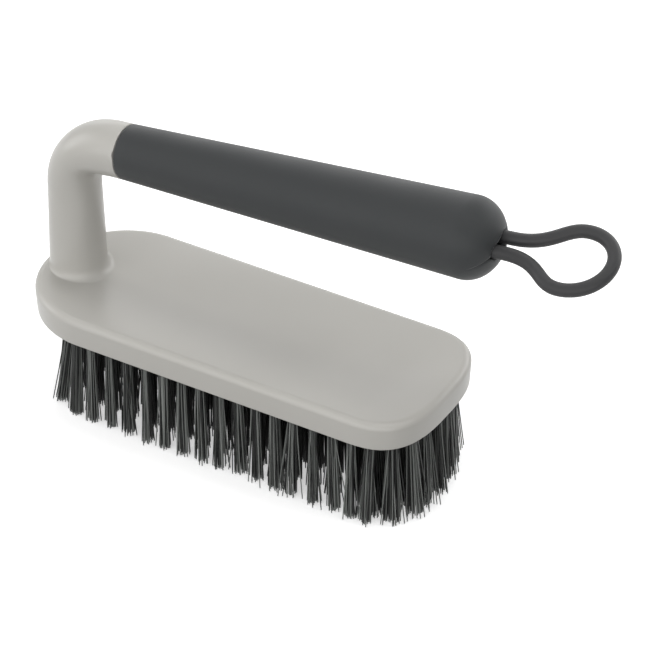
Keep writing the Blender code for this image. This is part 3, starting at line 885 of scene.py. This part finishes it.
def makeNeck(n, material):
    bm = bmesh.new()
    rings = []

    def oval(centre, up, across):
        side = Vector((0, across, 0))
        rings.append(addRing(bm, [centre + side * a + up * b for a, b in circle(1, n["sides"])]))

    def cross(centre, along, radius):
        oval(centre, along.cross(Vector((0, radius, 0))), radius)

    def upright(height, radius):
        cross(Vector((postX, 0, height)), Vector((0, 0, 1)), radius)

    def onAxis(distance, radius, nick=0.0):
        cross(handleStart + handleAxis * distance, handleAxis, radius)
        for i, vert in enumerate(rings[-1]):
            off = (math.tau * i / n["sides"] - n["nickAt"]) / n["nickWidth"]
            vert.co -= handleAxis * nick * math.exp(-off * off)

    def flare(turn, out=0.0, drop=0.0):
        # A ring of the foot's fillet, widest towards the grip, which runs out on the back.
        points = []
        for i in range(n["sides"]):
            angle = math.tau * i / n["sides"]
            along, across = -math.sin(angle), math.cos(angle)
            centre = backSet["width"] / 2 - postX
            room = math.sqrt(backSet["width"] ** 2 / 4 - (centre * across) ** 2) + centre * along
            share = n["flareLeast"] + (1 - n["flareLeast"]) * ((1 + along) / 2) ** n["flareRise"]
            reach = min(n["footRadius"] + n["flareReach"] * share, room - n["flareMargin"])
            radius = reach - (reach - n["footRadius"]) * math.sin(turn) + out
            x, y = postX + radius * along, radius * across
            ground = topHeight(x, y)
            points.append((x, y, ground - drop + (n["flareTop"] - ground) * (1 - math.cos(turn))))
        rings.append(addRing(bm, points))

    upright(n["spigotBottom"], n["spigotRadius"] - n["spigotChamfer"])
    upright(n["spigotBottom"] + n["spigotChamfer"], n["spigotRadius"])
    upright(n["spigotTop"], n["spigotRadius"])
    flare(0, -n["hiddenIn"], n["hiddenDrop"])
    flare(0, n["flareSink"], n["flareSink"])
    for i in range(n["flareSteps"] + 1):
        flare(math.pi / 2 * i / n["flareSteps"])

    whole = math.pi / 2 - handleSet["tilt"]
    tangent = n["bendRadius"] * math.tan(whole / 2)
    bendStart = handleStart.z - tangent
    for i in range(1, n["postSteps"]):
        share = i / n["postSteps"]
        height = n["flareTop"] + (bendStart - n["flareTop"]) * share
        upright(height, n["footRadius"] + (n["topRadius"] - n["footRadius"]) * share)

    # Through the bend, each oval spans from the wide outer arc to the tight inner corner.
    centre = Vector((postX + n["bendRadius"], 0, bendStart))
    tight = n["innerBend"]
    down = Vector((math.sin(handleSet["tilt"]), 0, -math.cos(handleSet["tilt"])))
    innerEnd = handleStart + handleAxis * tangent + down * n["endRadius"]
    corner = Vector((postX + n["topRadius"] + tight, 0, 0))
    slope = math.tan(handleSet["tilt"])
    corner.z = innerEnd.z - (innerEnd.x - corner.x) * slope - tight / math.cos(handleSet["tilt"])
    arcStart = corner - Vector((tight, 0, 0))
    arcEnd = corner - down * tight
    rise, sweep, run = arcStart.z - bendStart, tight * whole, (innerEnd - arcEnd).length
    for i in range(n["bendSteps"] + 1):
        share = i / n["bendSteps"]
        turn = whole * share
        radius = n["topRadius"] + (n["endRadius"] - n["topRadius"]) * share
        radius += n["bendSwell"] * math.sin(math.pi * share)
        outer = centre + Vector((-math.cos(turn), 0, math.sin(turn))) * (n["bendRadius"] + radius)
        gone = share * (rise + sweep + run)
        if gone < rise:
            inner = Vector((arcStart.x, 0, bendStart + gone))
        elif gone < rise + sweep:
            angle = (gone - rise) / tight
            inner = corner + Vector((-math.cos(angle), 0, math.sin(angle))) * tight
        else:
            inner = arcEnd + (innerEnd - arcEnd) * (gone - rise - sweep) / run
        oval((outer + inner) / 2, (outer - inner) / 2, radius)
    onAxis(n["shoulder"] - n["shoulderLead"], n["endRadius"])
    for short, inward in n["shoulderRound"]:
        onAxis(n["shoulder"] - short, n["endRadius"] - inward, n["nickDepth"])
    onAxis(n["shoulder"], n["coreStart"], n["nickDepth"])
    for share in (0.25, 0.5, 0.75):
        reach = n["shoulder"] + (n["coreEndAt"] - n["shoulder"]) * share
        onAxis(reach, n["coreStart"] + (n["coreEnd"] - n["coreStart"]) * share)
    onAxis(n["coreEndAt"] - n["coreChamfer"], n["coreEnd"])
    onAxis(n["coreEndAt"], n["coreEnd"] - n["coreChamfer"])
    onAxis(n["coreEndAt"], n["boreRadius"])
    onAxis(n["coreEndAt"] - n["boreDepth"], n["boreRadius"])
    closeTube(bm, rings)
    neck = addPiece("neck", bm, material)
    settle(neck, "neck_plastic", "neck")
    print("neck ready")


gripSet = {
    "start": 22.9,
    "startRadius": 9.65,
    "coneEnd": 154.4,
    "end": 166.3,
    "endRadius": 14.0,
    "wall": 2.5,
    "endWall": 6.0,
    "innerEndRadius": 10.9,
    "edge": 0.55,
    "edgeSteps": 6,
    "sides": 144,
    "coneSteps": 30,
    "domeSteps": 26,
    "slotRadius": 2.8,
    "slotSteps": 24,
    "slotOverrun": 1.0,
    "creaseDepth": 0.7,
    "creaseInShare": 0.6,
    "creaseWidth": 0.36,
    "creaseFrom": 5.6,
    "creaseTo": 12.6,
    "creaseFade": 0.7,
    "creaseClear": math.radians(5.5),
    "creaseStep": math.radians(0.6),
    "creaseLines": 8,
}
legOffset = 3.16  # From the slot's middle to the middle of each leg.


def makeGrip(g, material):
    # Angles are even, with extra ones beside the two mould creases in the loop's plane.
    creases = (math.pi, 0.0)
    angles = [math.tau * i / g["sides"] for i in range(g["sides"])]
    for middle in creases:
        angles = [a for a in angles if abs(math.remainder(a - middle, math.tau)) > g["creaseClear"]]
        lines = range(-g["creaseLines"], g["creaseLines"] + 1)
        angles += [middle + g["creaseStep"] * k for k in lines]
    angles = sorted(a % math.tau for a in angles)

    def crease(reach, radius, angle):
        # How deep the crease is here: nothing on the cone, most beside the slot.
        if reach <= g["coneEnd"]:
            return 0.0
        nearest = min(abs(math.remainder(angle - middle, math.tau)) for middle in creases)
        fade = (g["creaseTo"] - radius) / (g["creaseTo"] - g["creaseFrom"])
        fade = min(max(fade, 0.0), 1.0) ** g["creaseFade"]
        return g["creaseDepth"] * fade * math.exp(-((nearest * radius / g["creaseWidth"]) ** 2))

    bm = bmesh.new()
    rings = []

    def ringAt(reach, radius, outside=True):
        points = []
        for angle in angles:
            sink = crease(reach, radius, angle) if outside else 0.0
            out = radius - sink * g["creaseInShare"]
            points.append((reach - sink, out * math.cos(angle), out * math.sin(angle)))
        rings.append(addRing(bm, points))

    ringAt(g["end"] - g["endWall"], g["innerEndRadius"], False)
    ringAt(g["start"], g["startRadius"] - g["wall"], False)
    for i in range(g["edgeSteps"], -1, -1):
        turn = math.pi / 2 * i / g["edgeSteps"]
        reach = g["start"] + g["edge"] * (1 - math.sin(turn))
        ringAt(reach, g["startRadius"] - g["edge"] * (1 - math.cos(turn)))
    for i in range(1, g["coneSteps"]):
        share = i / g["coneSteps"]
        reach = g["start"] + g["edge"] + (g["coneEnd"] - g["start"] - g["edge"]) * share
        ringAt(reach, g["startRadius"] + (g["endRadius"] - g["startRadius"]) * share)
    for i in range(g["domeSteps"]):
        turn = math.pi / 2 * i / g["domeSteps"]
        reach = g["coneEnd"] + (g["end"] - g["coneEnd"]) * math.sin(turn)
        ringAt(reach, g["endRadius"] * math.cos(turn))
    bridgeRings(bm, rings)
    tip = bm.verts.new((g["end"], 0, 0))
    for i in range(len(angles)):
        bm.faces.new((rings[-1][i - 1], rings[-1][i], tip))
    bm.faces.new(rings[0])
    grip = addPiece("gripSleeve", bm, material, toSlot)

    slot = bmesh.new()
    section = []
    for side in (1, -1):
        for i in range(g["slotSteps"] + 1):
            turn = math.pi * i / g["slotSteps"]
            across = legOffset + g["slotRadius"] * math.sin(turn)
            section.append((side * across, -side * g["slotRadius"] * math.cos(turn)))
    reaches = (g["end"] - g["endWall"] - g["slotOverrun"], g["end"] + g["slotOverrun"])
    closeTube(slot, [addRing(slot, [(x, a, b) for a, b in section]) for x in reaches])
    carve(grip, addPiece("slotCutter", slot, material, toSlot))
    settle(grip, "grip_rubber", "grip_sleeve")
    print("grip ready")


loopSet = {
    "radius": 2.3,
    "root": 168.7,
    "widest": 23.9,
    "halfWidth": 11.95,
    "reach": 37.1,
    "legHandle": 14.6,
    "waistHandle": 8.9,
    "bowHandle": 7.4,
    "endHandle": 6.6,
    "steps": 30,
    "sides": 24,
    "legFrom": 159.0,
    "legStep": 1.0,
    "legSteps": 10,
    "plugRadius": 6.2,
    "plugFrom": 147.0,
    "plugTo": 160.0,
    "plugChamfer": 0.4,
    "plugSides": 48,
    "bendFrom": 165.5,
    "bendTo": 173.5,
}


def loopLine(l):
    # Half of the loop's middle line, from the plug along a leg to the far end, then its mirror.
    half = [Vector((l["legFrom"] + l["legStep"] * i, legOffset)) for i in range(l["legSteps"])]

    def arc(a, b, c, d):
        # From a, heading for b, to d, coming from c.
        for i in range(l["steps"]):
            share = i / l["steps"]
            rest = 1 - share
            near = a * rest ** 3 + b * 3 * rest ** 2 * share
            half.append(near + c * 3 * rest * share ** 2 + d * share ** 3)

    root = Vector((l["root"], legOffset))
    widest = Vector((l["root"] + l["widest"], l["halfWidth"]))
    end = Vector((l["root"] + l["reach"], 0))
    ahead = Vector((1, 0))
    arc(root, root + ahead * l["legHandle"], widest - ahead * l["waistHandle"], widest)
    arc(widest, widest + ahead * l["bowHandle"], end + Vector((0, l["endHandle"])), end)
    half.append(end)
    return half + [Vector((p.x, -p.y)) for p in half[-2::-1]]


def makeLoop(l, material):
    line = loopLine(l)
    bm = bmesh.new()
    rings = []
    for i, point in enumerate(line):
        along = (line[min(i + 1, len(line) - 1)] - line[max(i - 1, 0)]).normalized()
        side = Vector((along.y, -along.x))
        section = circle(l["radius"], l["sides"])
        rings.append(addRing(bm, [(point.x + side.x * a, point.y + side.y * a, b) for a, b in section]))
    closeTube(bm, rings)

    # The plug lies straight in the core's bore, so the loop's pitch is taken off it.
    straighten = toLoop.inverted() @ toSlot
    cut = l["plugChamfer"]
    inner, outer = l["plugFrom"], l["plugTo"]
    plug = []
    for along, shift in ((inner, -cut), (inner + cut, 0), (outer - cut, 0), (outer, -cut)):
        section = circle(l["plugRadius"] + shift, l["plugSides"])
        plug.append(addRing(bm, [straighten @ Vector((along, a, b)) for a, b in section]))
    closeTube(bm, plug)
    loop = addPiece("hangingLoop", bm, material, toLoop)
    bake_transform(loop)
    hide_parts("hanging_loop", "loop_anchor")
    print("loop ready")


lightSet = {
    "ambient": 0.1,
    "floorSeen": (0.9, 0.9, 0.9, 1.0),
    "floorBounce": (0.25, 0.25, 0.25, 1.0),
    "floorGlow": (0.5, 0.5, 0.5, 1.0),
    "floorSize": 2.6,
    "aim": (0, 0, 0.06),
    "lamps": {
        "overhead": {"from": (0.05, 0.17, 1.4), "size": (1.4, 0.15), "watts": 3.7},
        "overheadRight": {"from": (1.0, 0.13, 1.0), "size": (0.5, 0.12), "watts": 2.7},
        "overheadFront": {"from": (0.1, -0.42, 1.4), "size": (1.2, 0.25), "watts": 2.3},
        "backTop": {"from": (-0.45, 0.75, 1.15), "size": (1.6, 1.0), "watts": 3.7},
        "backLow": {"from": (-0.9, 1.2, 0.5), "size": (1.0, 0.5), "watts": 2.8},
        "rimRight": {"from": (0.5, 1.3, 0.55), "size": (1.4, 0.5), "watts": 8.2},
        "frontHigh": {"from": (0.1, -0.95, 1.35), "size": (1.2, 0.7), "watts": 0.9},
        "frontLow": {"from": (0.3, -1.5, 0.45), "size": (3.4, 0.9), "watts": 22.2},
        "keyLeft": {"from": (-0.9, -1.2, 1.0), "size": (1.0, 1.0), "watts": 2.8},
        "leftLow": {"from": (-1.4, -0.3, 0.5), "size": (0.8, 0.8), "watts": 5.6},
    },
}


def seenRays(sheet):
    # 1 for what the camera sees, straight, mirrored or through, and 0 for light on the brush.
    path = sheet.add("ShaderNodeLightPath")
    seen = sheet.number(path, "Is Camera Ray") + sheet.number(path, "Is Glossy Ray")
    return seen + sheet.number(path, "Is Transmission Ray")


def makeLight(s):
    world = bpy.data.worlds.new("studio")
    bpy.context.scene.world = world
    world.use_nodes = True
    sheet = Sheet(world.node_tree)
    world.node_tree.nodes.clear()
    soft, white = [
        sheet.add("ShaderNodeBackground", {}, {"Color": (1, 1, 1, 1), "Strength": level}).outputs[0]
        for level in (s["ambient"], 1.0)
    ]
    both = sheet.add("ShaderNodeMixShader", {}, {0: seenRays(sheet), 1: soft, 2: white}).outputs[0]
    sheet.add("ShaderNodeOutputWorld", {}, {"Surface": both})

    for name, lamp in s["lamps"].items():
        data = bpy.data.lights.new(name, "AREA")
        data.shape = "RECTANGLE"
        data.size, data.size_y = lamp["size"]
        data.energy = lamp["watts"]
        made = bpy.data.objects.new(name, data)
        bpy.context.scene.collection.objects.link(made)
        place = Vector(lamp["from"])
        turned = (Vector(s["aim"]) - place).to_track_quat("-Z", "Y").to_matrix().to_4x4()
        made.matrix_world = Matrix.Translation(place) @ turned

    half = s["floorSize"] / 2
    corners = [(-half, -half, 0), (half, -half, 0), (half, half, 0), (-half, half, 0)]
    bm = bmesh.new()
    bm.faces.new(addRing(bm, corners))
    mesh = bpy.data.meshes.new("floor")
    bm.to_mesh(mesh)
    bm.free()
    material, sheet, surface = newMaterial("floorWhite")
    seen = seenRays(sheet)
    feed(sheet, surface, "Base Color", sheet.blend(seen, s["floorBounce"], s["floorSeen"]))
    feed(sheet, surface, "Emission Color", sheet.blend(seen, (0, 0, 0, 1), s["floorGlow"]))
    surface.inputs["Emission Strength"].default_value = 1.0
    surface.inputs["Roughness"].default_value = 1.0
    surface.inputs["Specular IOR Level"].default_value = 0.0
    mesh.materials.append(material)
    floor = bpy.data.objects.new("floor", mesh)
    bpy.context.scene.collection.objects.link(floor)
    print("light ready")


makeCamera(cameraSet)
backPlastic = makePlastic("backPlastic", plasticLook)
makeBack(backSet, backPlastic)
makePlate(plateSet, backPlastic)
makeTufts(tuftSet, makeFibre("bristleFibre", fibreLook))
makeNeck(neckSet, makePlastic("neckPlastic", plasticLook))
makeGrip(gripSet, makeRubber("gripRubber", gripLook))
makeLoop(loopSet, makeRubber("loopRubber", cordLook))
makeLight(lightSet)
bpy.context.scene.view_settings.view_transform = "Standard"
